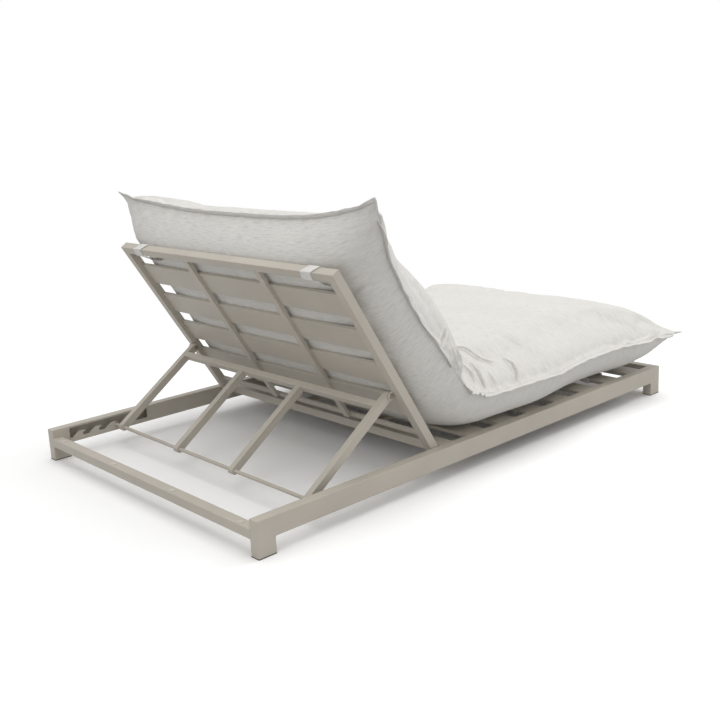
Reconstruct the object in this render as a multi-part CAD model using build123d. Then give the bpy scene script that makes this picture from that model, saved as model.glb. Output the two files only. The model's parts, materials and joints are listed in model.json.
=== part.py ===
from build123d import *
from math import atan2, cos, degrees, hypot, radians, sin, tan
import os

os.makedirs("parts", exist_ok=True)

# Overall frame. The frame is drawn with Y = 0 at the face of its head end.
frame_length = 2000.0
frame_width = 1200.0
deck_height = 110.0
corner_radius = 2.0

# Side rails and corner posts
rail_height = 60.0
rail_width = 34.0
rail_wall = 2.5
post_length = 60.0
post_fillet = 7.0
glide_height = 3.0
glide_plug_height = 10.0

# Cross members under the deck
head_rail_depth = 35.0
head_rail_height = 30.0
foot_rail_depth = 35.0
foot_rail_height = 60.0
mid_rail_depth = 58.0
cross_wall = 2.0

# Slats and the ribs under them
slat_thickness = 12.0
slat_wall = 1.5
seat_slat_width = 85.0
seat_slat_count = 7
foot_slat_gap = 58.5
back_slat_width = 86.0
back_slat_count = 4
top_slat_gap = 63.0
bottom_slat_gap = 74.0
rib_width = 25.0
rib_thickness = 12.0
rib_bay = 374.0

# Backrest, drawn folded flat in the deck and then raised about its pivot
back_angle = 58.15
pivot_place = 733.4
head_gap = 5.6
stile_width = 30.0
stile_depth = 28.0
stile_wall = 2.0
side_gap = 2.0
end_gap = 1.1
top_rail_depth = 28.0
bottom_bar_width = 16.0
bottom_bar_place = 51.8

# Prop frame
prop_pivot_reach = 260.8
prop_pivot_drop = 24.8
prop_leg_width = 22.0
prop_leg_depth = 25.0
prop_leg_wall = 2.0
outer_leg_gap = 2.0
leg_bay = 362.0
prop_rail_width = 22.0
prop_rail_place = 34.0
rod_radius = 6.0
rod_end_gap = 0.3

# Ratchet racks set into the inner walls of the side rails
rack_thickness = 4.0
rack_end_land = 15.0
window_end_land = 3.0
window_length = 312.0
window_floor = 16.0
window_height = 37.0
window_corner_radius = 4.0
tooth_count = 3
tooth_pitch = 63.0
tooth_length = 50.0
tooth_slope_length = 22.0
tooth_height = 16.5
tooth_crest_rise = 2.0
hook_reach = 5.0
seat_rod_place = 245.0
notch_radius = 6.6

# Pads under the folded backrest
pad_diameter = 20.0
pad_place = 14.0
pad_height = 1.7
pad_count = 4
pad_inset = 56.0

# Bolts
bolt_radius = 4.0
running_clearance = 0.05
bolt_head_height = 5.3
bolt_head_flats = 13.0
nut_height = 6.5
face_clearance = 0.3
washer_radius = 8.0
tab_thickness = 4.0
tab_width = 25.0
tab_reach = 12.5
tab_weld_depth = 20.0

# Mattress: two cushion halves that meet in the fold
seam_height = 135.0
seat_crown_height = 265.0
back_crown_height = 328.0
crown_half_width = 480.0
underside_half_width = 485.0
foot_dip = 45.0
head_dip = 88.0
foot_closing_run = 320.0
head_closing_run = 360.0
side_overhang = 38.0
foot_overhang = 45.0
pillow_over_head = 124.0
fold_gap = 1.0
seam_edge_height = 12.0

# Fabric loops that tie the mattress to the frame
strap_width = 42.0
strap_thickness = 1.5
back_strap_inset = 112.0
seat_strap_inset = 74.0
seat_strap_slat = 5

cut_overrun = 1.0

# Levels and faces that several pieces share
half_width = frame_width / 2
rail_inner = half_width - rail_width
rail_bottom = deck_height - rail_height
slat_bottom = deck_height - slat_thickness
stile_outer = rail_inner - side_gap
stile_inner = stile_outer - stile_width
pivot_height = deck_height - stile_depth / 2
back_top = head_gap
top_rail_foot = back_top + top_rail_depth
mid_rail_head = pivot_place + stile_depth / 2 + end_gap
mid_rail_foot = mid_rail_head + mid_rail_depth
foot_rail_head = frame_length - foot_rail_depth
window_head = post_length + window_end_land
floor_level = rail_bottom + window_floor
part_length = frame_length + foot_overhang
fold_half_angle = (180 - back_angle) / 2
rib_offset = rail_inner - rib_bay
outer_leg_offset = stile_inner - tab_thickness - outer_leg_gap - prop_leg_width / 2
inner_leg_offset = outer_leg_offset - leg_bay
seam_half_width = half_width + side_overhang


def bar(low, high, along, radius=0.0):
    """Straight bar between two corners, with rounded long edges."""
    size = [b - a for a, b in zip(low, high)]
    middle = [(a + b) / 2 for a, b in zip(low, high)]
    if along == "X":
        start = Plane(origin=(low[0], middle[1], middle[2]), x_dir=(0, 1, 0), z_dir=(1, 0, 0))
        wide, tall, length = size[1], size[2], size[0]
    elif along == "Y":
        start = Plane(origin=(middle[0], low[1], middle[2]), x_dir=(-1, 0, 0), z_dir=(0, 1, 0))
        wide, tall, length = size[0], size[2], size[1]
    else:
        start = Plane(origin=(middle[0], middle[1], low[2]))
        wide, tall, length = size[0], size[1], size[2]
    section = RectangleRounded(wide, tall, radius) if radius else Rectangle(wide, tall)
    return extrude(start * section, amount=length)


def tube(low, high, along, wall, radius=corner_radius):
    """Open-ended rectangular tube between two corners."""
    grow = [cut_overrun if axis == along else -wall for axis in "XYZ"]
    core_low = [a - g for a, g in zip(low, grow)]
    core_high = [b + g for b, g in zip(high, grow)]
    return bar(low, high, along, radius) - bar(core_low, core_high, along)


def rod(start_x, end_x, y, z, radius):
    """Round bar along X."""
    start = Plane(origin=(start_x, y, z), x_dir=(0, 1, 0), z_dir=(1, 0, 0))
    return extrude(start * Circle(radius), amount=end_x - start_x)


def hexagon(start_x, end_x, y, z, flats):
    """Hexagon head or nut along X."""
    plane = Plane(origin=(start_x, y, z), x_dir=(0, 1, 0), z_dir=(1, 0, 0))
    return extrude(plane * RegularPolygon(flats / 2, 6, major_radius=False), amount=end_x - start_x)


def side_face(sketch_plane_x, sketch, thickness):
    """Extrude a sketch drawn in Y and Z along +X."""
    plane = Plane(origin=(sketch_plane_x, 0, 0), x_dir=(0, 1, 0), z_dir=(1, 0, 0))
    return extrude(plane * sketch, amount=thickness)


def mirrored(piece):
    return mirror(piece, about=Plane.YZ)


def foot_end_of(piece):
    """The same corner piece at the foot end of the frame."""
    return mirror(piece, about=Plane(origin=(0, frame_length / 2, 0), z_dir=(0, 1, 0)))


def post():
    """Corner post at the head end: a tube closed at the top that runs flush into the rail."""
    low = (rail_inner, 0, glide_height)
    high = (half_width, post_length, deck_height)
    core_low = (low[0] + rail_wall, low[1] + rail_wall, low[2] - cut_overrun)
    core_high = (high[0] - rail_wall, high[1] - rail_wall, high[2] - rail_wall)
    outside = bar(low, high, "Z")
    upright = outside.edges().filter_by(Axis.Z).group_by(Axis.Y)[0]
    rim = outside.faces().sort_by(Axis.Z)[-1].edges().sort_by(Axis.Y)[:-1]
    outside = fillet(upright + rim, corner_radius)
    return outside - bar(core_low, core_high, "Z") + post_neck()


def post_neck():
    """Small fillet between the post and the underside of the rail."""
    reach = post_length + post_fillet
    middle = (post_length + post_fillet / 2, rail_bottom - post_fillet / 2)
    corner = Pos(*middle) * Rectangle(post_fillet, post_fillet)
    corner = corner - Pos(reach, rail_bottom - post_fillet) * Circle(post_fillet)
    return side_face(rail_inner + corner_radius, corner, rail_width - 2 * corner_radius)


def glide():
    sole = bar((rail_inner, 0, 0), (half_width, post_length, glide_height), "Z")
    plug_low = (rail_inner + rail_wall, rail_wall, glide_height)
    plug_high = (half_width - rail_wall, post_length - rail_wall, glide_height + glide_plug_height)
    return sole + bar(plug_low, plug_high, "Z")


def cross_rail(edge, depth, bottom, height):
    """Tube between the side rails."""
    return tube((-rail_inner, edge, bottom), (rail_inner, edge + depth, bottom + height), "X", cross_wall)


def rack_length():
    return window_end_land + window_length + rack_end_land


def rail():
    """Side rail with the opening that takes the rack and the hole for the hinge bolt."""
    low = (rail_inner, post_length, rail_bottom)
    high = (half_width, frame_length - post_length, deck_height)
    body = tube(low, high, "Y", rail_wall)
    slot_low = (rail_inner - cut_overrun, post_length - cut_overrun, rail_bottom + rail_wall)
    slot_high = (rail_inner + rack_thickness, post_length + rack_length(), deck_height - rail_wall)
    reach = (rail_inner - cut_overrun, rail_inner + rail_wall + cut_overrun)
    return body - bar(slot_low, slot_high, "X") - rod(*reach, pivot_place, pivot_height, bolt_radius)


def tooth(rod_place):
    """Hooked tooth whose undercut holds the prop rod against the head side."""
    tip = rod_place + hook_reach
    base = (tip - tooth_length, floor_level)
    shoulder = (tip - tooth_length + tooth_slope_length, floor_level + tooth_height)
    point = (tip, floor_level + tooth_height - tooth_crest_rise / 2)
    crest = ((shoulder[0] + point[0]) / 2, floor_level + tooth_height + tooth_crest_rise)
    heel = (rod_place, floor_level)
    edges = [Line(base, shoulder), ThreePointArc(shoulder, crest, point), Line(point, heel), Line(heel, base)]
    notch = Pos(rod_place + notch_radius - rod_radius, floor_level + notch_radius) * Circle(notch_radius)
    return make_face(edges) - notch


def rack():
    """Toothed plate: a long window whose floor carries the row of hooked teeth."""
    plate_length = rack_length()
    plate_height = rail_height - 2 * rail_wall
    middle = (post_length + plate_length / 2, rail_bottom + rail_height / 2)
    plate = Pos(*middle) * Rectangle(plate_length, plate_height)
    opening_middle = (window_head + window_length / 2, floor_level + window_height / 2)
    opening = Pos(*opening_middle) * RectangleRounded(window_length, window_height, window_corner_radius)
    teeth = [tooth(seat_rod_place - step * tooth_pitch) for step in range(tooth_count)]
    return side_face(rail_inner, plate - (opening - teeth), rack_thickness)


def seat_slat_places():
    """Head-side edge of each seat slat, with even gaps up to the last one."""
    free = foot_rail_head - mid_rail_foot - foot_slat_gap - seat_slat_count * seat_slat_width
    pitch = free / seat_slat_count + seat_slat_width
    first = mid_rail_foot + pitch - seat_slat_width
    return [first + pitch * step for step in range(seat_slat_count)]


def back_slat_places():
    """Head-side edge of each backrest slat, drawn folded flat."""
    last_edge = pivot_place - bottom_bar_place - bottom_bar_width - bottom_slat_gap
    first = top_rail_foot + top_slat_gap
    pitch = (last_edge - back_slat_width - first) / (back_slat_count - 1)
    return [first + pitch * step for step in range(back_slat_count)]


def slat(reach, edge, width):
    return tube((-reach, edge, slat_bottom), (reach, edge + width, deck_height), "X", slat_wall, slat_wall)


def rib(head, foot):
    low = (rib_offset - rib_width / 2, head, slat_bottom - rib_thickness)
    high = (rib_offset + rib_width / 2, foot, slat_bottom)
    return tube(low, high, "Y", slat_wall, 0)


def stile():
    """Backrest side tube, mitred at the top and rounded about the hinge bolt."""
    rear = deck_height - stile_depth
    centre = pivot_height
    round_end = Pos(pivot_place, centre) * Circle(stile_depth / 2)
    flank = Rectangle(pivot_place - back_top, stile_depth)
    flank = Pos((back_top + pivot_place) / 2, centre) * flank
    body = side_face(stile_inner, flank + round_end, stile_width)
    core_low = (stile_inner + stile_wall, back_top - cut_overrun, rear + stile_wall)
    core_high = (stile_outer - stile_wall, pivot_place - stile_depth / 2, deck_height - stile_wall)
    reach = (stile_inner - cut_overrun, stile_outer + cut_overrun)
    bore = rod(*reach, pivot_place, centre, bolt_radius + running_clearance)
    return body - bar(core_low, core_high, "Y") - bore - corner_wedge()


def corner_wedge():
    """Material beyond the mitre line between the stile and the top rail."""
    beyond = [(stile_inner, top_rail_foot), (stile_outer, back_top), (stile_inner, back_top)]
    outline = Polyline(*beyond, close=True)
    lifted = Plane(origin=(0, 0, deck_height - stile_depth - cut_overrun))
    return extrude(lifted * make_face(outline), amount=stile_depth + 2 * cut_overrun)


def back_top_rail():
    """Top tube between the mitres."""
    rear = deck_height - stile_depth
    body = tube((-stile_outer, back_top, rear), (stile_outer, top_rail_foot, deck_height), "X", stile_wall)
    front = [(-stile_outer, back_top), (stile_outer, back_top)]
    behind = [(stile_inner, top_rail_foot), (-stile_inner, top_rail_foot)]
    lifted = Plane(origin=(0, 0, rear - cut_overrun))
    outline = make_face(Polyline(*front, *behind, close=True))
    return body & extrude(lifted * outline, amount=stile_depth + 2 * cut_overrun)


def back_bottom_bar():
    edge = pivot_place - bottom_bar_place - bottom_bar_width
    low = (-stile_inner, edge, slat_bottom)
    high = (stile_inner, edge + bottom_bar_width, deck_height)
    return tube(low, high, "X", slat_wall, slat_wall)


def prop_pivot():
    """Prop pivot with the backrest folded flat."""
    return pivot_place - prop_pivot_reach, pivot_height - prop_pivot_drop


def turned(y, z, angle, centre):
    """Point turned about the X axis through a centre, positive by the right-hand rule."""
    a = radians(angle)
    dy, dz = y - centre[0], z - centre[1]
    return centre[0] + dy * cos(a) - dz * sin(a), centre[1] + dy * sin(a) + dz * cos(a)


def prop_tab():
    """Plate on the inner face of the stile that carries the prop pivot."""
    y, z = prop_pivot()
    reach = stile_inner - tab_thickness
    weld_top = deck_height - stile_depth + tab_weld_depth
    plate = Pos(y, (weld_top + z) / 2) * Rectangle(tab_width, weld_top - z)
    body = side_face(reach, plate + Pos(y, z) * Circle(tab_reach), tab_thickness)
    return body - rod(reach - cut_overrun, stile_inner + cut_overrun, y, z, bolt_radius)


def prop_length():
    """Pivot to rod distance that puts the rod in its notch at the steepest angle."""
    y, z = turned(*prop_pivot(), -back_angle, (pivot_place, pivot_height))
    return hypot(y - seat_rod_place, z - rod_level())


def prop_angle():
    """Slope of the prop legs with the rod in that notch."""
    y, z = turned(*prop_pivot(), -back_angle, (pivot_place, pivot_height))
    return degrees(atan2(z - rod_level(), y - seat_rod_place))


def rod_level():
    return floor_level + rod_radius


def prop_leg(offset, first):
    """Flat tube rounded about the rod, drawn lying flat."""
    y, z = prop_pivot()
    far = y - prop_length()
    radius = prop_leg_depth / 2
    near = y - first
    flank = Pos((far + near) / 2, z) * Rectangle(near - far, prop_leg_depth)
    outline = flank + Pos(far, z) * Circle(radius)
    if not first:
        outline = outline + Pos(y, z) * Circle(radius)
    body = side_face(offset - prop_leg_width / 2, outline, prop_leg_width)
    core_end = near if first else near - radius
    inside = prop_leg_width / 2 - prop_leg_wall
    core_low = (offset - inside, far + radius, z - radius + prop_leg_wall)
    core_high = (offset + inside, core_end, z + radius - prop_leg_wall)
    body = body - bar(core_low, core_high, "Y")
    reach = (offset - prop_leg_width, offset + prop_leg_width)
    body = body - rod(*reach, far, z, rod_radius)
    if not first:
        body = body - rod(*reach, y, z, bolt_radius + running_clearance)
    return body


def prop_cross_rail():
    """Rail between the outer legs, on which the inner legs end."""
    y, z = prop_pivot()
    reach = outer_leg_offset - prop_leg_width / 2
    foot = y - prop_rail_place
    low = (-reach, foot - prop_rail_width, z - prop_leg_depth / 2)
    high = (reach, foot, z + prop_leg_depth / 2)
    return tube(low, high, "X", prop_leg_wall)


def prop_rod():
    y, z = prop_pivot()
    reach = rail_inner - rod_end_gap
    return rod(-reach, reach, y - prop_length(), z, rod_radius)


def hinge_bolt():
    """Shoulder bolt through the stile into the rail, with its head inside the frame."""
    head_face = stile_inner - face_clearance
    head = hexagon(head_face - bolt_head_height, head_face, pivot_place, pivot_height, bolt_head_flats)
    shank_end = rail_inner + rail_wall + nut_height
    return head + rod(head_face, shank_end, pivot_place, pivot_height, bolt_radius)


def hinge_nut():
    start = rail_inner + rail_wall
    end = start + nut_height
    body = hexagon(start, end, pivot_place, pivot_height, bolt_head_flats)
    return body - rod(start - cut_overrun, end + cut_overrun, pivot_place, pivot_height, bolt_radius)


def hinge_washer():
    start = stile_outer + face_clearance
    ring = rod(start, rail_inner, pivot_place, pivot_height, washer_radius)
    return ring - rod(start - cut_overrun, rail_inner + cut_overrun, pivot_place, pivot_height, bolt_radius)


def prop_bolt():
    y, z = prop_pivot()
    head = hexagon(stile_inner, stile_inner + bolt_head_height, y, z, bolt_head_flats)
    return head + rod(prop_nut_face() - nut_height, stile_inner, y, z, bolt_radius)


def prop_nut_face():
    return outer_leg_offset - prop_leg_width / 2 - face_clearance


def prop_nut():
    y, z = prop_pivot()
    face = prop_nut_face()
    body = hexagon(face - nut_height, face, y, z, bolt_head_flats)
    return body - rod(face - nut_height - cut_overrun, face + cut_overrun, y, z, bolt_radius)


def prop_washer():
    y, z = prop_pivot()
    start = outer_leg_offset + prop_leg_width / 2 + face_clearance
    end = stile_inner - tab_thickness
    ring = rod(start, end, y, z, washer_radius)
    return ring - rod(start - cut_overrun, end + cut_overrun, y, z, bolt_radius)


def pad(offset):
    base = Plane(origin=(offset, pad_place, rail_bottom + head_rail_height))
    return extrude(base * Circle(pad_diameter / 2), amount=pad_height)


def strap(head, foot, depth, offset):
    """Fabric loop open at the deck level, where it is sewn to the mattress."""
    outer_low = (offset - strap_width / 2, head - strap_thickness, deck_height - depth - strap_thickness)
    outer_high = (offset + strap_width / 2, foot + strap_thickness, deck_height)
    inner_low = (offset - strap_width, head, deck_height - depth)
    inner_high = (offset + strap_width, foot, deck_height + cut_overrun)
    return bar(outer_low, outer_high, "X") - bar(inner_low, inner_high, "X")


# Cushion sections from the fold to the far edge. Each row gives the place as a share of
# the length, then shares of the seam half width, of the crown and, for the lift of the
# underside, of the seam height.
seat_shares = [
    (0.00, 0.972, 0.72, 0.42),
    (0.11, 0.983, 0.94, 0.05),
    (0.22, 0.992, 1.00, 0.00),
    (0.37, 1.010, 1.00, 0.00),
    (0.64, 0.939, 1.00, 0.00),
    (1.00, 1.035, 1.00, 0.00),
]
back_shares = [
    (0.00, 0.972, 0.58, 0.42),
    (0.16, 1.008, 0.75, 0.04),
    (0.32, 0.975, 0.97, 0.00),
    (0.44, 0.938, 1.00, 0.00),
    (0.76, 0.948, 0.88, 0.00),
    (1.00, 1.056, 0.87, 0.00),
]
shoulder_rise_share = 0.77
bulge_width_share = 0.66
bulge_rise_share = 0.50
tuck_width_share = 0.68
tuck_rise_share = 0.40

# The far end closes to the seam. Each row gives a level, as a share of the seam height
# below it or of the crown's rise above it, and how far back the end lies there in the
# middle and at the sides, as shares of the closing run.
end_under_shares = [(-0.20, 0.50, 0.42), (0.40, 0.25, 0.12)]
end_over_shares = [(0.60, 0.28, 0.46), (0.85, 0.42, 0.62), (1.20, 1.77, 1.87)]


def cushion_section(row, crown_height):
    """Pillow section: flat underside, seam at the side and a low crown between two shoulders."""
    _, wide, crown, lift = row
    seam_x = seam_half_width * wide
    top = crown_height * crown
    base = seam_height * lift
    rise = top - seam_height
    shoulder = (crown_half_width, seam_height + rise * shoulder_rise_share)
    bulge_x = crown_half_width + (seam_x - crown_half_width) * bulge_width_share
    bulge = (bulge_x, seam_height + rise * bulge_rise_share)
    tuck_x = underside_half_width + (seam_x - underside_half_width) * tuck_width_share
    tuck = (tuck_x, base + (seam_height - base) * tuck_rise_share)
    right = [(underside_half_width, base), tuck, (seam_x, seam_height), bulge, shoulder]
    left = [(-across, up) for across, up in reversed(right)]
    crown_arc = ThreePointArc(shoulder, (0, top), left[0])
    return make_face([*Polyline(*left, *right).edges(), crown_arc])


def beyond_end(far, direction, reach, dip, closing_run, crown_height):
    """Space beyond the dished end of the pillow, which closes to the seam from above and below."""
    levels = []
    for up, middle, side in end_under_shares:
        levels.append((seam_height * up, closing_run * middle, closing_run * side))
    levels += [(seam_height - seam_edge_height / 2, dip, 0), (seam_height + seam_edge_height / 2, dip, 0)]
    rise = crown_height - seam_height
    for up, middle, side in end_over_shares:
        levels.append((seam_height + rise * up, closing_run * middle, closing_run * side))
    sections = []
    for level, middle, side in levels:
        right = (reach, far - direction * side)
        left = (-reach, right[1])
        outer = far + direction * cut_overrun
        edges = [ThreePointArc(left, (0, far - direction * middle), right)]
        edges += Polyline(right, (reach, outer), (-reach, outer), left).edges()
        sections.append(Pos(0, 0, deck_height + level) * make_face(edges))
    return loft(sections, ruled=True)


def fold_wedge(corner, direction, crown_height):
    """Space of the other half, on the far side of the plane that halves the fold."""
    slope = radians(fold_half_angle)
    back_off = fold_gap / 2 / sin(slope)
    reach = 2 * crown_height
    outline = Polyline(
        (corner + direction * back_off, deck_height),
        (corner + direction * (back_off + reach / tan(slope)), deck_height + reach),
        (corner - direction * reach, deck_height + reach),
        (corner - direction * reach, deck_height - reach),
        (corner + direction * (back_off - reach / tan(slope)), deck_height - reach),
        close=True,
    )
    return side_face(-frame_width, make_face(outline), 2 * frame_width)


def cushion(corner, length, direction, shares, crown_height, dip, closing_run):
    """Half of the mattress: lofted from the fold, mitred there and closed at the far end."""
    sections = []
    for row in shares:
        place = corner + direction * length * row[0]
        plane = Plane(origin=(0, place, deck_height), x_dir=(1, 0, 0), z_dir=(0, -1, 0))
        sections.append(plane * cushion_section(row, crown_height))
    body = loft(sections, ruled=True) - fold_wedge(corner, direction, crown_height)
    reach = seam_half_width * shares[-1][1] + cut_overrun
    far = corner + direction * length
    return body - beyond_end(far, direction, reach, dip, closing_run, crown_height)


# Placing: the frame stands as drawn, the backrest is raised about its pivot, and the prop
# swings down from the raised backrest until its rod lies in the last notch.
to_origin = Pos(0, -part_length / 2, 0)


def turn_about(y, z, angle):
    return Pos(0, y, z) * Rot(angle, 0, 0) * Pos(0, -y, -z)


raised = turn_about(pivot_place, pivot_height, -back_angle)
folded_pivot = prop_pivot()
swing = turn_about(*folded_pivot, prop_angle() + back_angle)


def write(node, pieces, move=None):
    """Export one node as a solid or as a group of separate solids."""
    place = to_origin * move if move else to_origin
    solids = [place * solid for piece in pieces for solid in piece.solids()]
    shape = solids[0] if len(solids) == 1 else Compound(children=solids)
    shape.label = node
    export_step(shape, f"parts/{node}.step")


def write_pair(node, piece, move=None):
    write(f"{node}_right", [piece], move)
    write(f"{node}_left", [mirrored(piece)], move)


def write_frame():
    write_pair("rail", rail())
    write_pair("ratchet_rack", rack())
    write_pair("post_head", post())
    write_pair("post_foot", foot_end_of(post()))
    glides = [glide(), foot_end_of(glide())]
    write("glides", glides + [mirrored(piece) for piece in glides])
    write("head_rail", [cross_rail(0, head_rail_depth, rail_bottom, head_rail_height)])
    reach = rail_inner - pad_inset
    write("head_pads", [pad(2 * reach * step / (pad_count - 1) - reach) for step in range(pad_count)])
    write("mid_rail", [cross_rail(mid_rail_head, mid_rail_depth, deck_height - stile_depth, stile_depth)])
    bottom = deck_height - foot_rail_height
    write("foot_rail", [cross_rail(foot_rail_head, foot_rail_depth, bottom, foot_rail_height)])
    for number, edge in enumerate(seat_slat_places(), 1):
        write(f"seat_slat_{number}", [slat(rail_inner, edge, seat_slat_width)])
    write_pair("seat_rib", rib(mid_rail_foot, foot_rail_head))
    write("hinge_bolts", [hinge_bolt(), mirrored(hinge_bolt())])
    write("hinge_nuts", [hinge_nut(), mirrored(hinge_nut())])
    write("hinge_washers", [hinge_washer(), mirrored(hinge_washer())])


def write_backrest():
    write_pair("stile", stile(), raised)
    write("back_top_rail", [back_top_rail()], raised)
    write("back_bottom_bar", [back_bottom_bar()], raised)
    for number, edge in enumerate(back_slat_places(), 1):
        write(f"back_slat_{number}", [slat(stile_inner, edge, back_slat_width)], raised)
    write_pair("back_rib", rib(top_rail_foot, pivot_place - bottom_bar_place - bottom_bar_width / 2), raised)
    write_pair("prop_tab", prop_tab(), raised)
    write("prop_bolts", [prop_bolt(), mirrored(prop_bolt())], raised)
    write("prop_nuts", [prop_nut(), mirrored(prop_nut())], raised)
    write("prop_washers", [prop_washer(), mirrored(prop_washer())], raised)


def write_prop():
    move = raised * swing
    write_pair("prop_leg_outer", prop_leg(outer_leg_offset, 0), move)
    write_pair("prop_leg_inner", prop_leg(inner_leg_offset, prop_rail_place + prop_rail_width), move)
    write("prop_cross_rail", [prop_cross_rail()], move)
    write("prop_rod", [prop_rod()], move)


def write_mattress():
    front_rise = stile_depth / 2
    seat_corner = pivot_place + front_rise * tan(radians(back_angle / 2))
    back_corner = pivot_place - front_rise * tan(radians(back_angle / 2))
    seat_length = frame_length + foot_overhang - seat_corner
    back_length = back_corner - back_top + pillow_over_head
    seat = cushion(seat_corner, seat_length, 1, seat_shares, seat_crown_height, foot_dip, foot_closing_run)
    back = cushion(back_corner, back_length, -1, back_shares, back_crown_height, head_dip, head_closing_run)
    write("seat_cushion", [seat])
    write("back_cushion", [back], raised)
    offset = stile_outer - back_strap_inset
    write_pair("back_strap", strap(back_top, top_rail_foot, stile_depth, offset), raised)
    edge = seat_slat_places()[seat_strap_slat]
    offset = rail_inner - seat_strap_inset
    write_pair("seat_strap", strap(edge, edge + seat_slat_width, slat_thickness, offset))


write_frame()
write_backrest()
write_prop()
write_mattress()

y, z = prop_pivot()
flat_rod = y - prop_length()
raised_pivot = turned(y, z, -back_angle, (pivot_place, pivot_height))
ratio = -(prop_angle() + back_angle) / back_angle
print(f"hinge at y {pivot_place - part_length / 2:.3f} z {pivot_height:.3f}")
print(f"prop pivot at y {raised_pivot[0] - part_length / 2:.3f} z {raised_pivot[1]:.3f}")
print(f"coupling {ratio:.5f}, prop length {prop_length():.2f}")
print(f"rod at y {flat_rod:.2f} z {z:.2f} when folded, window starts at {window_head}")
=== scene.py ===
import bmesh
import bpy
import json
import math
import numpy as np
from mathutils import Matrix, Vector


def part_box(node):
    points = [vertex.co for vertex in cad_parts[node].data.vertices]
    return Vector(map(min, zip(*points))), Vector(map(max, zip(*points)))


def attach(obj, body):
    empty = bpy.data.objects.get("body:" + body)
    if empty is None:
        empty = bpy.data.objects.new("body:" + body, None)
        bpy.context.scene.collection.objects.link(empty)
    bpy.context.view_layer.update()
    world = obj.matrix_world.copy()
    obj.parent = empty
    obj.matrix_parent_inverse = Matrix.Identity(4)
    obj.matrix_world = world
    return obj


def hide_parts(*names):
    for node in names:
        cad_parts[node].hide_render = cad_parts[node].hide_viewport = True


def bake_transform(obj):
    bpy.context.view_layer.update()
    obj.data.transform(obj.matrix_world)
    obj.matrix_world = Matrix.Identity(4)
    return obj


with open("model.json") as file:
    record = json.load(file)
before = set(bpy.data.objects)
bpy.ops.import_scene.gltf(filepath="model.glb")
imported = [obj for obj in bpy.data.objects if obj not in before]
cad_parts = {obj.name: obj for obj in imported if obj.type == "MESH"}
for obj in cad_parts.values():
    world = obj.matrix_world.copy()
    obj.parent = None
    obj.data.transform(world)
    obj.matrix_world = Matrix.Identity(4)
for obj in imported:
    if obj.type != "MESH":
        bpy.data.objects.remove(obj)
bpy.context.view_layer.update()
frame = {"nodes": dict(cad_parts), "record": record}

nodes = frame["nodes"]
scene = bpy.context.scene
scene.view_settings.view_transform = "Standard"


def hexColour(code):
    # sRGB hex to the linear values that the shader sockets take
    parts = [int(code[i:i + 2], 16) / 255 for i in (1, 3, 5)]
    linear = [c / 12.92 if c <= 0.04045 else ((c + 0.055) / 1.055) ** 2.4 for c in parts]
    return (*linear, 1.0)


def newMaterial(name):
    mat = bpy.data.materials.new(name)
    mat.use_nodes = True
    mat.node_tree.nodes.clear()
    return mat


def addNode(mat, kind, settings=None, inputs=None, links=None):
    # one node with its settings, its fixed inputs and its incoming links
    tree = mat.node_tree
    node = tree.nodes.new(kind)
    for key, value in (settings or {}).items():
        setattr(node, key, value)
    for key, value in (inputs or {}).items():
        node.inputs[key].default_value = value
    for key, socket in (links or {}).items():
        tree.links.new(socket, node.inputs[key])
    return node


def setRamp(node, stops):
    ramp = node.color_ramp
    while len(ramp.elements) < len(stops):
        ramp.elements.new(0.5)
    for element, (place, colour) in zip(ramp.elements, stops):
        element.position = place
        element.color = colour


def makeObject(name, points, faces, material, weave=None, smooth=True):
    # weave holds, for each point of a fabric piece, its place on the flat cloth
    mesh = bpy.data.meshes.new(name)
    mesh.from_pydata([tuple(p) for p in points], [], faces)
    if weave is not None:
        layer = mesh.attributes.new("weave", "FLOAT_VECTOR", "POINT")
        layer.data.foreach_set("vector", np.array(weave, float).ravel())
    mesh.update()
    mesh.polygons.foreach_set("use_smooth", [smooth] * len(mesh.polygons))
    obj = bpy.data.objects.new(name, mesh)
    scene.collection.objects.link(obj)
    obj.data.materials.append(material)
    return obj


def smoothStep(x):
    x = np.clip(x, 0.0, 1.0)
    return x * x * (3 - 2 * x)


def powderCoat():
    # taupe powder coat on aluminium tube: satin, with the faint orange peel that baked powder leaves
    # and hardly any change of tone from place to place
    look = {"base": "#BDB6AA", "warm": "#C1BAAE", "cool": "#B9B2A7", "roughness": 0.46,
            "cloudMm": 166.6667, "peelMm": 2.2, "peelHeightMm": 0.2}
    mat = newMaterial("powderCoatedAluminium")
    coords = addNode(mat, "ShaderNodeTexCoord")
    cloud = addNode(mat, "ShaderNodeTexNoise", inputs={"Scale": 1000 / look["cloudMm"], "Detail": 3.0},
                    links={"Vector": coords.outputs["Object"]})
    ramp = addNode(mat, "ShaderNodeValToRGB", links={"Fac": cloud.outputs["Fac"]})
    setRamp(ramp, [(0.30, hexColour(look["cool"])), (0.50, hexColour(look["base"])),
                   (0.72, hexColour(look["warm"]))])
    peel = addNode(mat, "ShaderNodeTexNoise", inputs={"Scale": 1000 / look["peelMm"], "Detail": 2.0},
                   links={"Vector": coords.outputs["Object"]})
    bump = addNode(mat, "ShaderNodeBump", inputs={"Strength": 0.12, "Distance": look["peelHeightMm"] / 1000},
                   links={"Height": peel.outputs["Fac"]})
    shader = addNode(mat, "ShaderNodeBsdfPrincipled", inputs={"Roughness": look["roughness"], "IOR": 1.5},
                     links={"Base Color": ramp.outputs["Color"], "Normal": bump.outputs["Normal"]})
    addNode(mat, "ShaderNodeOutputMaterial", links={"Surface": shader.outputs["BSDF"]})
    return mat


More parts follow.
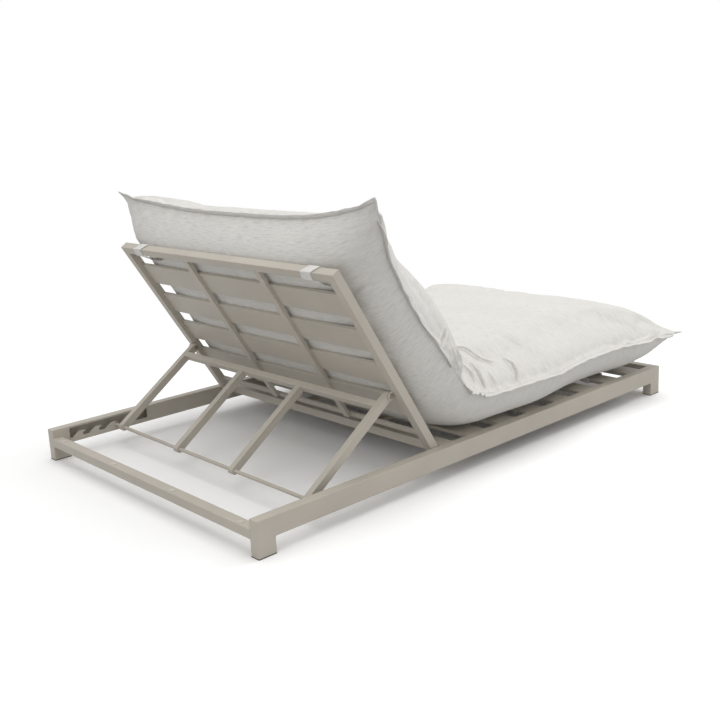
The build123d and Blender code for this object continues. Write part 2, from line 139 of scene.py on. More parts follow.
def melangeFabric(name, lift):
    # woven olefin, dyed in the yarn: pale grey slubby weft yarns across the mattress give it a soft fleck.
    # Real yarns are under a millimetre and are drawn as coarse as they need to be to show.
    # lift makes a piece of the same cloth paler than the mattress: painted light that makes up for the shade
    # the ties lie in.
    look = {"pale": "#D7D5D1", "mid": "#CDCBC6", "fleck": "#BCB9B3", "sand": "#D1CDC4",
            "slubMm": 44.0, "yarnMm": 3.4, "threadMm": 2.4, "threadHeightMm": 0.7, "threadSpan": 0.3,
            "cloudMm": 142.8571, "cloudTone": (0.98, 1.02), "roughness": 0.92}
    mat = newMaterial(name)
    place = addNode(mat, "ShaderNodeAttribute", {"attribute_name": "weave"})
    slubScale = (1000 / look["slubMm"], 1000 / look["yarnMm"], 0)
    slubPlace = addNode(mat, "ShaderNodeMapping", inputs={"Scale": slubScale},
                        links={"Vector": place.outputs["Vector"]})
    slub = addNode(mat, "ShaderNodeTexNoise", inputs={"Scale": 1.0, "Detail": 3.0, "Roughness": 0.75},
                   links={"Vector": slubPlace.outputs["Vector"]})
    ramp = addNode(mat, "ShaderNodeValToRGB", links={"Fac": slub.outputs["Fac"]})
    setRamp(ramp, [(0.28, hexColour(look["fleck"])), (0.44, hexColour(look["mid"])),
                   (0.58, hexColour(look["pale"])), (0.76, hexColour(look["sand"]))])
    coords = addNode(mat, "ShaderNodeTexCoord")
    cloud = addNode(mat, "ShaderNodeTexNoise", inputs={"Scale": 1000 / look["cloudMm"], "Detail": 3.0},
                    links={"Vector": coords.outputs["Object"]})
    low, high = look["cloudTone"]
    # lift scales every tone of the cloth: above 1 it is painted light
    shade = addNode(mat, "ShaderNodeMapRange", links={"Value": cloud.outputs["Fac"]},
                    inputs={"From Min": 0.3, "From Max": 0.7, "To Min": low * lift, "To Max": high * lift})
    tint = addNode(mat, "ShaderNodeVectorMath", {"operation": "SCALE"},
                   links={0: ramp.outputs["Color"], "Scale": shade.outputs["Result"]})
    threadScale = (1000 * look["threadSpan"] / look["threadMm"], 1000 / look["threadMm"], 0)
    threadPlace = addNode(mat, "ShaderNodeMapping", inputs={"Scale": threadScale},
                          links={"Vector": place.outputs["Vector"]})
    thread = addNode(mat, "ShaderNodeTexNoise", inputs={"Scale": 1.0, "Detail": 2.0},
                     links={"Vector": threadPlace.outputs["Vector"]})
    bump = addNode(mat, "ShaderNodeBump", inputs={"Strength": 0.3, "Distance": look["threadHeightMm"] / 1000},
                   links={"Height": thread.outputs["Fac"]})
    shader = addNode(mat, "ShaderNodeBsdfPrincipled",
                     inputs={"Roughness": look["roughness"], "IOR": 1.45, "Specular IOR Level": 0.25,
                             "Sheen Weight": 0.15, "Sheen Roughness": 0.5},
                     links={"Base Color": tint.outputs["Vector"], "Normal": bump.outputs["Normal"]})
    addNode(mat, "ShaderNodeOutputMaterial", links={"Surface": shader.outputs["BSDF"]})
    return mat


def plainFinish(name, code, roughness, metallic=0.0, grainMm=1.5, grainHeightMm=0.2, spread=0.06):
    # one colour with a fine grain; spread is how far the grain moves the roughness either way
    mat = newMaterial(name)
    coords = addNode(mat, "ShaderNodeTexCoord")
    grain = addNode(mat, "ShaderNodeTexNoise", inputs={"Scale": 1000 / grainMm, "Detail": 2.0},
                    links={"Vector": coords.outputs["Object"]})
    bump = addNode(mat, "ShaderNodeBump", inputs={"Strength": 0.15, "Distance": grainHeightMm / 1000},
                   links={"Height": grain.outputs["Fac"]})
    rough = addNode(mat, "ShaderNodeMapRange", links={"Value": grain.outputs["Fac"]},
                    inputs={"To Min": roughness - spread, "To Max": roughness + spread})
    shader = addNode(mat, "ShaderNodeBsdfPrincipled",
                     inputs={"Base Color": hexColour(code), "Metallic": metallic},
                     links={"Roughness": rough.outputs["Result"], "Normal": bump.outputs["Normal"]})
    addNode(mat, "ShaderNodeOutputMaterial", links={"Surface": shader.outputs["BSDF"]})
    return mat


coat = powderCoat()
fabric = melangeFabric("wovenOlefinMelange", 1.0)
# the ties: the mattress cloth made 12% paler as painted light, against the shade they lie in
paintedLightWebbing = melangeFabric("wovenOlefinTiesPaintedLight", 1.12)
finishes = {
    "frame_coat": coat,
    "cushion_fabric": fabric,
    "strap_fabric": paintedLightWebbing,
    # moulded polypropylene glides: near black, with the dull skin of the mould
    "glide_plastic": plainFinish("mouldedPolypropylene", "#1B1B1B", 0.55),
    # clear silicone pads: they take the colour of the paint under them and shine a little
    "pad_rubber": plainFinish("clearSiliconePad", "#C9C4BA", 0.30),
    # turned stainless steel bolts: warm grey metal with a soft highlight
    "bolt_steel": plainFinish("stainlessSteelBolt", "#A8A49C", 0.35, metallic=1.0),
}
for part in frame["record"]["subparts"]:
    obj = nodes[part["node"]]
    obj.data.materials.clear()
    obj.data.materials.append(finishes[part["material_slot"]])
print("finishes set")


# the mattress: one thick pillow that bends at the hinge, with a seam all round

mattress = {
    "corner": (-0.2813, 0.110),      # where the slats of the seat meet those of the backrest, Y and Z
    "backAngle": 58.15,
    "seatLength": 1.3038, "backLength": 0.851,
    "seamHeight": 0.135, "seatCrown": 0.247, "backCrown": 0.273,
    "foldSwell": (0.040, 0.36, 0.17),  # how much, how far up the backrest and over what length it is thicker
    "bellyRadius": 0.376,            # round outside of the fold
    "creaseDepth": 0.262,            # from the corner to the inner crease, along the fold's bisector
    "creaseRun": (0.13, 0.6),        # the crown is full this far from the crease, and the power it rises with
    "seamCut": (0.030, 0.070),       # how far the seam cuts the corner of the fold, and over what length
    "seatWidths": [(0, 0.620), (0.12, 0.627), (0.25, 0.635), (0.36, 0.645), (0.52, 0.608), (0.64, 0.599),
                   (0.74, 0.607), (0.84, 0.636), (0.97, 0.650), (1, 0.660)],
    "backWidths": [(0, 0.620), (0.15, 0.643), (0.30, 0.626), (0.41, 0.604), (0.52, 0.594), (0.73, 0.601),
                   (0.91, 0.646), (1, 0.674)],
    "widthBlur": (0.06, 0.035),      # reach and softness of the rounding between those widths
    "footDip": (0.045, 2.4), "headDip": (0.088, 3.0),  # how far the middle of an end draws in, and its power
    "headDroop": (0.026, 4),         # the same for the left head corner
    "dipRange": (0.70, 0.30),        # where along the pillow its ends begin to draw in, and over what share
    "seatClosing": (0.32, 3.0),      # run and power with which the top comes down to the seam at the foot
    "backClosing": (0.36, 2.8),      # and at the head
    "endLift": (0.14, 1.8),          # run and power with which the underside rises to the seam at both ends
    "topBox": (4, 0.5),              # how boxy and how steep the top panel is across
    "underBox": (9.0, 3.6, 0.6),     # how boxy the underside is in the middle and at the ends, and how steep
    "boxRange": (0.74, 0.26),        # where along the pillow that change begins, and over what share
    "across": 112, "along": 0.0125,  # cells of the cloth, and their length in metres
}


def smoothProfile(table, share):
    # widths along one side, rounded off between the measured places
    places, values = zip(*table)
    reach, softness = mattress["widthBlur"]
    spread = np.linspace(-reach, reach, 13)
    weights = np.exp(-(spread / softness) ** 2)
    samples = np.interp(np.clip(share + spread, 0, 1), places, values)
    return float((samples * weights).sum() / weights.sum())


def turnVector(vector, angle):
    # a vector in the YZ plane turned from Y towards Z
    c, s = math.cos(angle), math.sin(angle)
    return np.array([vector[0] * c - vector[1] * s, vector[0] * s + vector[1] * c])


def mattressRing(tau, seat):
    # one section across the pillow; tau runs from the fold to the far seam
    m = mattress
    angle = math.radians(m["backAngle"])
    half = (math.pi - angle) / 2
    bisector = np.array([math.cos(half), math.sin(half)])
    corner = np.array(m["corner"])
    tangent = m["bellyRadius"] * math.tan(angle / 2)
    arc = m["bellyRadius"] * angle / 2
    if seat:
        length, widths, (droop, droopPower) = m["seatLength"], m["seatWidths"], (0, 1)
        dip, dipPower = m["footDip"]
        crown, (closeRun, closePower) = m["seatCrown"], m["seatClosing"]
        alongDir, upDir, side = np.array([1.0, 0.0]), np.array([0.0, 1.0]), 1
    else:
        length, widths, (droop, droopPower) = m["backLength"], m["backWidths"], m["headDroop"]
        dip, dipPower = m["headDip"]
        crown, (closeRun, closePower) = m["backCrown"], m["backClosing"]
        alongDir, side = np.array([-math.cos(angle), math.sin(angle)]), -1
        upDir = np.array([math.sin(angle), math.cos(angle)])

    run = tau * (arc + length - tangent)
    if run < arc:
        centre = corner + bisector * m["bellyRadius"] / math.sin(half)
        under = centre + turnVector(-bisector, side * run / m["bellyRadius"]) * m["bellyRadius"]
    else:
        reach = tangent + run - arc
        liftRun, liftPower = m["endLift"]
        lift = m["seamHeight"] * np.clip((reach - length + liftRun) / liftRun, 0, 1) ** liftPower
        under = corner + alongDir * reach + upDir * lift

    seamStart = m["seamHeight"] / math.tan(half)
    seamRun = tau * (length - seamStart)
    seam = corner + alongDir * (seamStart + seamRun) + upDir * m["seamHeight"]
    cut, cutLength = m["seamCut"]
    seam = seam + bisector * cut * math.exp(-(seamRun / cutLength) ** 2)

    creaseStart = m["creaseDepth"] * math.cos(half)
    creaseUp = m["creaseDepth"] * math.sin(half)
    reach = creaseStart + tau * (length - creaseStart)
    if not seat:
        swell, place, spread = m["foldSwell"]
        crown += swell * math.exp(-((reach - place) / spread) ** 2)
    riseRun, risePower = m["creaseRun"]
    height = creaseUp + (crown - creaseUp) * smoothStep((reach - creaseStart) / riseRun) ** risePower
    closing = np.clip((reach - length + closeRun) / closeRun, 0, 1)
    height = m["seamHeight"] + (height - m["seamHeight"]) * math.sqrt(max(0.0, 1 - closing ** closePower))
    top = corner + alongDir * reach + upDir * height

    v = np.linspace(-1, 1, m["across"] + 1)
    u = v * (1.5 - 0.5 * v ** 2)     # smaller cells towards the seam
    au = np.abs(u)
    wide = smoothProfile(widths, tau)
    pull = dip * (1 - au ** dipPower) + droop * np.clip(-u, 0, 1) ** droopPower
    start, share = m["dipRange"]
    pull = pull * np.clip((tau - start) / share, 0, 1) ** 2
    middle, atEnds, steep = m["underBox"]
    start, share = m["boxRange"]
    boxy = middle + (atEnds - middle) * smoothStep((tau - start) / share)
    topBoxy, topSteep = m["topBox"]
    rows = []
    for shape, target in (((1 - au ** topBoxy) ** topSteep, top), ((1 - au ** boxy) ** steep, under)):
        row = np.zeros((len(u), 3))
        row[:, 0] = u * wide
        row[:, 1:] = seam * (1 - shape[:, None]) + target * shape[:, None] - alongDir * pull[:, None]
        rows.append(row)
    return rows


def mattressRings():
    # sections from the head end over the fold to the foot end
    count = round(mattress["backLength"] / mattress["along"])
    rings = [mattressRing(i / count, False) for i in range(count, 0, -1)]
    count = round(mattress["seatLength"] / mattress["along"])
    return rings + [mattressRing(i / count, True) for i in range(count + 1)]


def acrossCloth(row, half):
    # distance of each point of a section from its middle along the cloth; half is how far it is to the seam
    steps = np.linalg.norm(np.diff(row, axis=0), axis=1)
    place = np.concatenate([[0], np.cumsum(steps)])
    place -= place[len(row) // 2]
    return place * ((half or place[-1]) / place[-1])


def mattressMesh():
    # an upper and a lower panel that share the points of the seam
    rings = mattressRings()
    n, width = len(rings), mattress["across"] + 1
    points, weave, faces = [], [], []
    upper = np.zeros((n, width), int)
    lower = np.zeros((n, width), int)
    for i, (top, under) in enumerate(rings):
        topPlace = acrossCloth(top, None)
        underPlace = acrossCloth(under, topPlace[-1])
        fromEnd = min(i, n - 1 - i) * mattress["along"]
        for j in range(width):
            upper[i, j] = lower[i, j] = len(points)
            points.append(top[j])
            fromSide = topPlace[-1] - abs(topPlace[j])
            weave.append((topPlace[j], i * mattress["along"], min(fromEnd, fromSide)))
            if 0 < j < width - 1 and 0 < i < n - 1:
                lower[i, j] = len(points)
                points.append(under[j])
                fromSide = topPlace[-1] - abs(underPlace[j])
                weave.append((underPlace[j], i * mattress["along"], min(fromEnd, fromSide)))
    for i in range(n - 1):
        for j in range(width - 1):
            a, b, c, d = (int(upper[k]) for k in ((i, j), (i, j + 1), (i + 1, j + 1), (i + 1, j)))
            faces.append((a, b, c, d))
            a, b, c, d = (int(lower[k]) for k in ((i, j), (i + 1, j), (i + 1, j + 1), (i, j + 1)))
            faces.append((a, b, c, d))
    edge = [(0, j) for j in range(width)] + [(i, width - 1) for i in range(1, n)]
    edge += [(n - 1, j) for j in range(width - 2, -1, -1)] + [(i, 0) for i in range(n - 2, 0, -1)]
    seamLoop = [int(upper[k]) for k in edge]
    under = [int(k) for k in lower[1:-1, 1:-1].ravel()]
    return np.array(points), faces, weave, seamLoop, under


simulation = {
    "frames": 20, "quality": 6, "mass": 0.3, "stretching": 40, "shearing": 20, "bending": 0.6,
    "pressure": 1.6,
    "growth": 0.030,                 # how much too large the panels are cut, as a share of their length
    "cap": 0.018,                    # no point of the cloth moves further than this
    "underHold": 0.9,                # how firmly the cloth on the slats is kept in place
}


def puffCloth(obj, seamLoop, under):
    # sewn cloth under pressure: slightly oversized panels pucker along the pinned seam
    base = np.array([v.co for v in obj.data.vertices])
    pins = obj.vertex_groups.new(name="pins")
    pins.add(under, simulation["underHold"], "REPLACE")
    pins.add(seamLoop, 1.0, "REPLACE")
    cloth = obj.modifiers.new("cloth", "CLOTH")
    settings = cloth.settings
    settings.quality = simulation["quality"]
    settings.mass = simulation["mass"]
    settings.tension_stiffness = settings.compression_stiffness = simulation["stretching"]
    settings.shear_stiffness = simulation["shearing"]
    settings.bending_stiffness = simulation["bending"]
    settings.use_pressure = True
    settings.uniform_pressure_force = simulation["pressure"]
    settings.shrink_min = -simulation["growth"]
    settings.vertex_group_mass = "pins"
    settings.effector_weights.gravity = 0
    cloth.collision_settings.use_collision = False
    cloth.point_cache.frame_end = simulation["frames"]
    for step in range(1, simulation["frames"] + 1):
        scene.frame_set(step)
    graph = bpy.context.evaluated_depsgraph_get()
    moved = np.array([v.co for v in obj.evaluated_get(graph).data.vertices])
    obj.modifiers.remove(cloth)
    scene.frame_set(1)
    shift = moved - base
    length = np.linalg.norm(shift, axis=1)
    print("cloth moved", round(float(length.max()), 4), round(float(length.mean()), 4))
    shift *= np.minimum(1, simulation["cap"] / np.maximum(length, 1e-9))[:, None]
    obj.data.vertices.foreach_set("co", (base + shift).ravel())
    obj.data.update()


def subdivide(obj, seamLoop):
    # one smooth subdivision that keeps the seam sharp
    mesh = obj.data
    onSeam = np.zeros(len(mesh.vertices), bool)
    onSeam[seamLoop] = True
    ends = np.array([e.vertices[:] for e in mesh.edges])
    crease = mesh.attributes.new("crease_edge", "FLOAT", "EDGE")
    crease.data.foreach_set("value", onSeam[ends].all(axis=1).astype(float))
    finer = obj.modifiers.new("finer", "SUBSURF")
    finer.levels = finer.render_levels = 1
    graph = bpy.context.evaluated_depsgraph_get()
    mesh = bpy.data.meshes.new_from_object(obj.evaluated_get(graph), preserve_all_data_layers=True,
                                           depsgraph=graph)
    obj.modifiers.clear()
    obj.vertex_groups.clear()
    obj.data = mesh
    mesh.name = obj.name


folds = {
    # creases that run from the fold into the seat and up the backrest: places, depth and half width
    "creases": [
        ([(0.400, -0.100, 0.364), (0.458, -0.030, 0.358), (0.505, -0.014, 0.344), (0.536, 0.032, 0.310)],
         0.0160, 0.0046),
        ([(0.522, -0.062, 0.338), (0.558, -0.077, 0.311), (0.581, -0.090, 0.291), (0.616, -0.108, 0.260)],
         0.0190, 0.0048),
        ([(0.530, 0.082, 0.326), (0.565, 0.089, 0.297), (0.598, 0.068, 0.273), (0.626, 0.041, 0.250)],
         0.0130, 0.0042),
        ([(0.508, -0.104, 0.336), (0.552, -0.106, 0.309), (0.592, -0.130, 0.280)], 0.0110, 0.0042),
        ([(0.560, -0.034, 0.303), (0.590, -0.044, 0.279), (0.620, -0.060, 0.252)], 0.0080, 0.0040),
        ([(0.585, -0.254, 0.482), (0.612, -0.290, 0.464), (0.624, -0.318, 0.440)], 0.0070, 0.0048),
        ([(0.600, -0.250, 0.432), (0.628, -0.238, 0.386), (0.638, -0.254, 0.350)], 0.0130, 0.0046),
        ([(0.616, -0.268, 0.428), (0.630, -0.272, 0.392), (0.640, -0.266, 0.352)], 0.0095, 0.0042),
        ([(0.500, -0.585, 0.620), (0.521, -0.577, 0.635), (0.555, -0.569, 0.655), (0.580, -0.546, 0.666)],
         0.0060, 0.0070),
    ],
    "ridge": 0.5,                    # height of the welt beside a crease as a share of its depth
    "ridgePlace": 2.1,               # and how many half widths it lies from the crease
    "taper": 0.7,                    # power with which a crease runs out at its ends
    "left": (0.014, 0.8),            # on the left side: shift towards the foot, and share of the depth
    "finerWithin": 0.024,            # the mesh is twice as fine this near to a crease
    "pucker": 0.0022, "puckerReach": 0.032,
    "puckerStart": 0.3,              # share of that reach over which the puckers grow from the seam
    "puckerSpans": ((0.047, 0.3), (0.073, 1.7), (0.118, 4.0)),  # length and phase of each wave
    "puckerCalm": (0.61, 0.8),       # the wave along which the puckers come and go
}


def waves(place, spans):
    # a sum of sine waves along the seam, each with its length and phase
    return sum(np.sin(place * 2 * math.pi / span + phase) for span, phase in spans)


def nearestCrease(co, path):
    # distance of every point to the line of a crease, and how far along it that is
    nearest = np.full(len(co), 9.0)
    place = np.zeros(len(co))
    path = np.array(path)
    lengths = np.linalg.norm(np.diff(path, axis=0), axis=1)
    for i, (a, b) in enumerate(zip(path[:-1], path[1:])):
        share = np.clip((co - a) @ (b - a) / lengths[i] ** 2, 0, 1)
        gap = np.linalg.norm(co - a - share[:, None] * (b - a), axis=1)
        closer = gap < nearest
        nearest[closer] = gap[closer]
        place[closer] = (lengths[:i].sum() + share[closer] * lengths[i]) / lengths.sum()
    return nearest, place


def layOnSurface(obj, path):
    # the same line with more points, each moved to the nearest place of the cloth
    path = np.array(path)
    places = np.linspace(0, len(path) - 1, 5 * len(path))
    line = np.array([np.interp(places, range(len(path)), path[:, k]) for k in range(3)]).T
    return [tuple(obj.closest_point_on_mesh(Vector(point))[1]) for point in line]


def allCreases(obj):
    # both sides' creases, laid on the cloth
    shift, share = folds["left"]
    creases = []
    for path, depth, width in folds["creases"]:
        creases.append((layOnSurface(obj, path), depth, width))
        left = [(-x, y + shift, z) for x, y, z in path]
        creases.append((layOnSurface(obj, left), depth * share, width))
    return creases


def refineNear(obj, creases):
    # a finer mesh along the creases, so that they press in cleanly
    co = np.array([v.co for v in obj.data.vertices])
    gaps = [nearestCrease(co, crease[0])[0] for crease in creases]
    close = np.min(gaps, axis=0) < folds["finerWithin"]
    shape = bmesh.new()
    shape.from_mesh(obj.data)
    shape.verts.ensure_lookup_table()
    edges = [e for e in shape.edges if close[e.verts[0].index] and close[e.verts[1].index]]
    bmesh.ops.subdivide_edges(shape, edges=edges, cuts=1, use_grid_fill=True)
    shape.to_mesh(obj.data)
    shape.free()


def pressFolds(obj, creases):
    # push the creases into the cloth, with a low welt on both sides of each
    mesh = obj.data
    co = np.array([v.co for v in mesh.vertices])
    normals = np.array([v.normal for v in mesh.vertices])
    weave = np.zeros(len(co) * 3)
    mesh.attributes["weave"].data.foreach_get("vector", weave)
    across, along, fromSeam = weave.reshape(-1, 3).T
    shift = np.zeros(len(co))
    for path, depth, width in creases:
        gap, place = nearestCrease(co, path)
        taper = np.sin(math.pi * np.clip(place, 0, 1)) ** folds["taper"]
        welt = folds["ridge"] * np.exp(-((gap - folds["ridgePlace"] * width) / width) ** 2)
        shift += depth * taper * (welt - np.exp(-(gap / width) ** 2))
    # short puckers where the stitches gather the cloth along the seam
    nearEnd = np.minimum(along, along.max() - along) < fromSeam + 1e-6
    place = np.where(nearEnd, across, along)
    gather = waves(place, folds["puckerSpans"])
    gather *= waves(place, [folds["puckerCalm"]]) * 0.5 + 0.5
    reach = folds["puckerReach"]
    rise = np.exp(-fromSeam / reach) - np.exp(-fromSeam / (reach * folds["puckerStart"]))
    shift += folds["pucker"] * gather * rise
    mesh.vertices.foreach_set("co", (co + normals * shift[:, None]).ravel())
    mesh.update()


def buildMattress():
    # the pillow and the sewn rim round it
    points, faces, weave, seamLoop, under = mattressMesh()
    obj = makeObject("mattress", points, faces, fabric, weave)
    puffCloth(obj, seamLoop, under)
    rim = seamFlange(obj, seamLoop)
    subdivide(obj, seamLoop)
    creases = allCreases(obj)
    refineNear(obj, creases)
    pressFolds(obj, creases)
    return obj, rim


flange = {
    "width": 0.014, "thickness": 0.0035, "inset": 0.004,
    "thin": (0.6, 0.5),              # from this share of its width it thins out, to this share at its edge
    "wave": 0.0026, "spans": ((0.083, 0.4), (0.131, 1.9), (0.057, 3.1)),  # height, length and phase
    "lean": 0.6,                     # how much the rim along the sides leans over, as a share of its width
    "backFrom": (-0.10, 0.20),       # where it begins to lean with the backrest, and over what length
    "bunch": 0.006, "bunchSpan": 0.023, "bunchReach": 0.060,  # gathered where the seam turns the fold
    "bunchPlace": -0.165,
}


def rimDirections(co, edges, seamLoop):
    # which way the rim points at each place of the seam, smoothed along it
    inward = np.zeros((len(co), 3))
    onSeam = np.zeros(len(co), bool)
    onSeam[seamLoop] = True
    for a, b in ((0, 1), (1, 0)):
        pick = onSeam[edges[:, a]] & ~onSeam[edges[:, b]]
        step = co[edges[pick, b]] - co[edges[pick, a]]
        np.add.at(inward, edges[pick, a], step / np.linalg.norm(step, axis=1)[:, None])
    loop, out = co[seamLoop], -inward[seamLoop]
    for corner in np.flatnonzero(np.linalg.norm(out, axis=1) < 1e-9):
        out[corner] = 2 * loop[corner] - loop[corner - 3] - loop[(corner + 3) % len(loop)]
    out /= np.linalg.norm(out, axis=1)[:, None]
    out = sum(math.exp(-(k / 2) ** 2) * np.roll(out, k, axis=0) for k in range(-4, 5))
    out /= np.linalg.norm(out, axis=1)[:, None]
    # on both sides it leans towards the slats
    start, run = flange["backFrom"]
    onBack = smoothStep((start - loop[:, 1]) / run)
    angle = math.radians(mattress["backAngle"])
    lean = flange["lean"] * np.abs(out[:, 0])
    out[:, 1] -= lean * onBack * math.sin(angle)
    out[:, 2] -= lean * (1 - onBack + onBack * math.cos(angle))
    return out / np.linalg.norm(out, axis=1)[:, None]


def seamFlange(obj, seamLoop):
    # the two panels are sewn together a finger's width inside their edge, which leaves a flat rim all round
    co = np.array([v.co for v in obj.data.vertices])
    edges = np.array([e.vertices[:] for e in obj.data.edges])
    loop = co[seamLoop]
    count = len(loop)
    unit = rimDirections(co, edges, seamLoop)
    fromFold = np.abs(loop[:, 1] - flange["bunchPlace"])
    up = np.cross(np.roll(loop, -1, axis=0) - np.roll(loop, 1, axis=0), unit)
    up /= np.linalg.norm(up, axis=1)[:, None]
    lengths = np.cumsum(np.linalg.norm(loop - np.roll(loop, 1, axis=0), axis=1))
    wave = waves(lengths, flange["spans"]) * flange["wave"] / len(flange["spans"])
    gathered = np.exp(-(fromFold / flange["bunchReach"]) ** 2) * flange["bunch"]
    wave += gathered * np.sin(lengths * 2 * math.pi / flange["bunchSpan"])
    half = flange["thickness"] / 2
    thinFrom, thin = flange["thin"]
    section = [(-flange["inset"], half), (flange["width"] * thinFrom, half), (flange["width"], half * thin)]
    section += [(outward, -rise) for outward, rise in reversed(section)]
    points, weave, faces = [], [], []
    for i in range(count):
        for outward, rise in section:
            ripple = wave[i] * max(0.0, outward) / flange["width"]
            points.append(loop[i] + unit[i] * outward + up[i] * (rise + ripple))
            weave.append((lengths[i], outward, 0))
    k = len(section)
    for i in range(count):
        for j in range(k - 1):
            a, b = i * k + j, (i + 1) % count * k + j
            faces.append((a, b, b + 1, a + 1))
        faces.append((i * k + k - 1, (i + 1) % count * k + k - 1, (i + 1) % count * k, i * k))
    return makeObject("mattress_seam", points, faces, fabric, weave)


cushion, rim = buildMattress()
for piece in (cushion, rim):
    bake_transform(piece)
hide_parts("seat_cushion", "back_cushion")
print("mattress built")


# fabric loops that tie the mattress to the frame

tie = {
    "width": 0.047, "seatWidth": 0.034, "thickness": 0.0014,
    "held": (0.5, 0.15),             # the share of its length that stays level, and that of the turn after it
    "top": 0.7205, "foot": 0.6915,   # edges of the top rail, up the backrest from the fold
    "under": -0.0289,                # behind the top rail, just clear of the head rail when it lies flat
    "seatInset": 0.010, "seatGap": 0.0015, "seatEnd": 0.116,
}


def bandPath(corners, steps):
    # an even path through rounded corners: a quadratic spline on the polygon of corners
    corners = np.array(corners)
    middles = (corners[1:] + corners[:-1]) / 2
    path = [corners[0]]
    for i in range(1, len(corners) - 1):
        a = middles[i - 1] if i > 1 else corners[0]
        b = corners[i]
        c = middles[i] if i < len(corners) - 2 else corners[-1]
        for t in np.linspace(0, 1, steps)[1:]:
            path.append(a * (1 - t) ** 2 + b * 2 * t * (1 - t) + c * t ** 2)
    return np.array(path)


def bandMesh(name, path, width):
    # a flat band that follows the path, rounded at its edges; its width lies level where it is held on
    # the tube, and square to the path behind it
    tangents = np.gradient(path, axis=0)
    tangents /= np.linalg.norm(tangents, axis=1)[:, None]
    run = np.concatenate([[0], np.cumsum(np.linalg.norm(np.diff(path, axis=0), axis=1))])
    held, turn = tie["held"]
    free = smoothStep((run / run[-1] - held) / turn)[:, None]
    sides = np.tile((1.0, 0.0, 0.0), (len(path), 1))
    sides -= tangents * (sides * tangents).sum(axis=1)[:, None] * free
    sides /= np.linalg.norm(sides, axis=1)[:, None]
    normals = np.cross(tangents, sides)
    normals /= np.linalg.norm(normals, axis=1)[:, None]
    section = [(x * width / 2, tie["thickness"] / 2 * (1 - 0.5 * x ** 8)) for x in np.linspace(-1, 1, 9)]
    section += [(x, -t) for x, t in reversed(section)]
    points = [p + s * x + n * t for p, s, n in zip(path, sides, normals) for x, t in section]
    weave = [(x, place, 0) for place in run for x, t in section]
    k = len(section)
    faces = []
    for i in range(len(path) - 1):
        for j in range(k):
            faces.append((i * k + j, i * k + (j + 1) % k, (i + 1) * k + (j + 1) % k, (i + 1) * k + j))
    faces.append(tuple(range(k - 1, -1, -1)))
    faces.append(tuple((len(path) - 1) * k + j for j in range(k)))
    return makeObject(name, points, faces, paintedLightWebbing, weave), float(run[-1])


def onBackrest(x, reach, rise):
    # a point x across, reach up the backrest from the fold and rise above its slats
    angle = math.radians(mattress["backAngle"])
    y = mattress["corner"][0] - reach * math.cos(angle) + rise * math.sin(angle)
    z = mattress["corner"][1] + reach * math.sin(angle) + rise * math.cos(angle)
    return (x, y, z)


def tieBackrest(name, node, x):
    # close round the top rail, which lies on the head rail when the backrest is flat, and back at a slant;
    # each corner of its path: aside, up the backrest, and above the slats
    top, foot, under = tie["top"], tie["foot"], tie["under"]
    corners = [(0.020, top - 0.020, 0.0010), (0.015, top - 0.004, 0.0011), (0.013, top + 0.0012, 0.0008),
               (0.011, top + 0.0014, -0.006), (0.000, top + 0.0014, -0.024), (-0.002, top + 0.0012, under),
               (-0.005, top - 0.005, under), (-0.010, foot + 0.005, under), (-0.010, foot - 0.0014, under),
               (-0.004, foot - 0.0055, -0.0235), (0.030, foot - 0.021, -0.0145),
               (0.060, foot - 0.026, -0.0060), (0.078, foot - 0.028, 0.0030)]
    corners = [onBackrest(x + aside, reach, rise) for aside, reach, rise in corners]
    piece, length = bandMesh(name, bandPath(corners, 8), tie["width"])
    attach(piece, "backrest")
    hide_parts(node)


def tieSeat(name, node, x):
    # round one slat of the seat
    low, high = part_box("seat_slat_6")
    gap, end = tie["seatGap"], tie["seatEnd"]
    x -= math.copysign(tie["seatInset"], x)
    corners = [(x, low[1] - gap, end), (x, low[1] - gap, low[2] - gap), (x, high[1] + gap, low[2] - gap),
               (x, high[1] + gap, end)]
    path = np.array([np.array(a) * (1 - t) + np.array(b) * t for a, b in zip(corners[:-1], corners[1:])
                     for t in np.linspace(0, 1, 6)[:-1]] + [np.array(corners[-1])])
    piece, length = bandMesh(name, path, tie["seatWidth"])
    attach(piece, "frame")
    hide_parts(node)


for side in ("right", "left"):
    low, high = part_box("back_strap_" + side)
    tieBackrest("back_tie_" + side, "back_strap_" + side, (low[0] + high[0]) / 2)
    low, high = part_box("seat_strap_" + side)
    tieSeat("seat_tie_" + side, "seat_strap_" + side, (low[0] + high[0]) / 2)
print("ties built")


stage = {
    "floorSize": 14.0,
    "floorTone": (0.66, 1.06),       # as it lights the undersides, and as the camera sees it
    "floorFade": (1.5, 2.6),         # between these distances it turns plain white for the camera
    "worldStrength": (0.76, 1.0),    # as it lights the object, and as the camera sees it
    "lamps": {                       # place, the point it is aimed at, size in metres and watts
        "keySoftbox": ((0.9, 2.6, 3.6), (0, 0.2, 0.2), 2.6, 46),
        "headSoftbox": ((1.5, -1.6, 3.8), (0, -0.2, 0.2), 2.4, 20),
        "topSoftbox": ((-0.5, 0.4, 4.2), (0, 0.1, 0), 3.0, 33),
    },
}


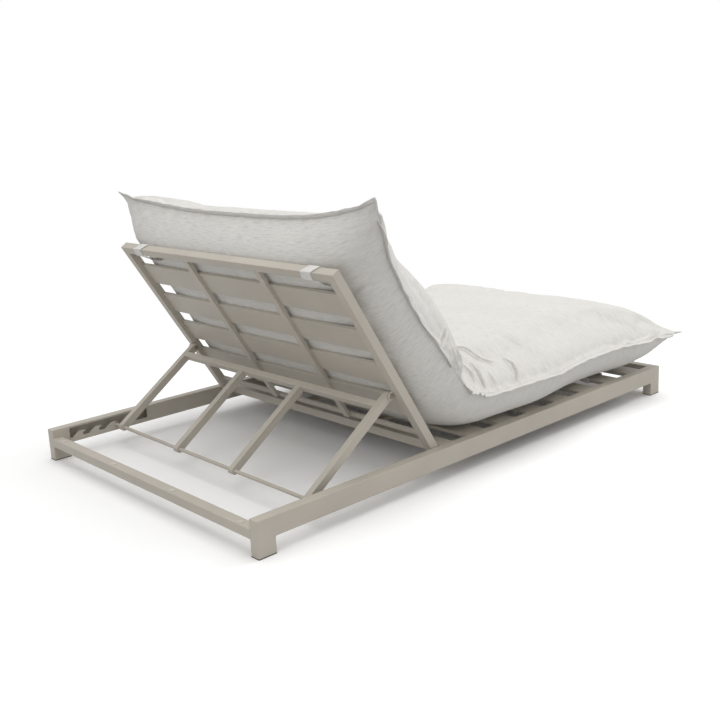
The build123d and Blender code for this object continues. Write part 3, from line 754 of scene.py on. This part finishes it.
def studioFloor():
    # matt pale floor that keeps the shadow
    mat = newMaterial("paleFloor")
    path = addNode(mat, "ShaderNodeLightPath")
    dim, seen = stage["floorTone"]
    tone = addNode(mat, "ShaderNodeMapRange", inputs={"To Min": dim, "To Max": seen},
                   links={"Value": path.outputs["Is Camera Ray"]})
    diffuse = addNode(mat, "ShaderNodeBsdfDiffuse", links={"Color": tone.outputs["Result"]})
    lift = addNode(mat, "ShaderNodeEmission", inputs={"Color": (1, 1, 1, 1)})
    coords = addNode(mat, "ShaderNodeTexCoord")
    away = addNode(mat, "ShaderNodeVectorMath", {"operation": "LENGTH"}, links={0: coords.outputs["Object"]})
    near, far = stage["floorFade"]
    fade = addNode(mat, "ShaderNodeMapRange", {"interpolation_type": "SMOOTHSTEP"},
                   inputs={"From Min": near, "From Max": far}, links={"Value": away.outputs["Value"]})
    # far from the object the camera sees plain white, so that the floor has no edge
    share = addNode(mat, "ShaderNodeMath", {"operation": "MULTIPLY"},
                    links={0: path.outputs["Is Camera Ray"], 1: fade.outputs["Result"]})
    both = addNode(mat, "ShaderNodeMixShader",
                   links={0: share.outputs["Value"], 1: diffuse.outputs["BSDF"], 2: lift.outputs["Emission"]})
    addNode(mat, "ShaderNodeOutputMaterial", links={"Surface": both.outputs["Shader"]})
    side = stage["floorSize"]
    corners = [(-side, -side, 0), (side, -side, 0), (side, side, 0), (-side, side, 0)]
    obj = makeObject("floor", corners, [(0, 1, 2, 3)], mat, smooth=False)


def studioWorld():
    # even light from all round, plain white where the camera looks straight at it
    world = bpy.data.worlds.new("studio")
    world.use_nodes = True
    world.node_tree.nodes.clear()
    path = addNode(world, "ShaderNodeLightPath")
    dim, seen = stage["worldStrength"]
    strength = addNode(world, "ShaderNodeMapRange", inputs={"To Min": dim, "To Max": seen},
                       links={"Value": path.outputs["Is Camera Ray"]})
    light = addNode(world, "ShaderNodeBackground", inputs={"Color": (1, 1, 1, 1)},
                    links={"Strength": strength.outputs["Result"]})
    addNode(world, "ShaderNodeOutputWorld", links={"Surface": light.outputs["Background"]})
    scene.world = world


def areaLamp(name, place, aim, size, power):
    data = bpy.data.lights.new(name, "AREA")
    data.shape = "DISK"
    data.size = size
    data.energy = power
    obj = bpy.data.objects.new(name, data)
    scene.collection.objects.link(obj)
    obj.location = place
    obj.rotation_euler = (Vector(aim) - Vector(place)).to_track_quat("-Z", "Y").to_euler()


def photoCamera():
    # fitted to the straight edges of the frame in the photograph
    view = {"azimuth": 47.43, "elevation": 14.324, "distance": 3.61556, "roll": -2.56,
            "target": (-0.0616, -0.0225, 0.236), "lensMm": 48.34}
    az, el, roll = (math.radians(view[k]) for k in ("azimuth", "elevation", "roll"))
    back = Vector((math.sin(az) * math.cos(el), -math.cos(az) * math.cos(el), math.sin(el)))
    place = Vector(view["target"]) + back * view["distance"]
    right = (-back).cross(Vector((0, 0, 1))).normalized()
    up = right.cross(-back)
    rightRolled = right * math.cos(roll) + up * math.sin(roll)
    upRolled = -right * math.sin(roll) + up * math.cos(roll)
    data = bpy.data.cameras.new("photoCamera")
    data.lens = view["lensMm"]
    data.sensor_width = 36
    data.clip_end = 60
    obj = bpy.data.objects.new("photoCamera", data)
    scene.collection.objects.link(obj)
    turn = Matrix((rightRolled, upRolled, back)).transposed().to_4x4()
    obj.matrix_world = Matrix.Translation(place) @ turn
    scene.camera = obj


studioFloor()
studioWorld()
for name, (place, aim, size, power) in stage["lamps"].items():
    areaLamp(name, place, aim, size, power)
photoCamera()
print("stage set")
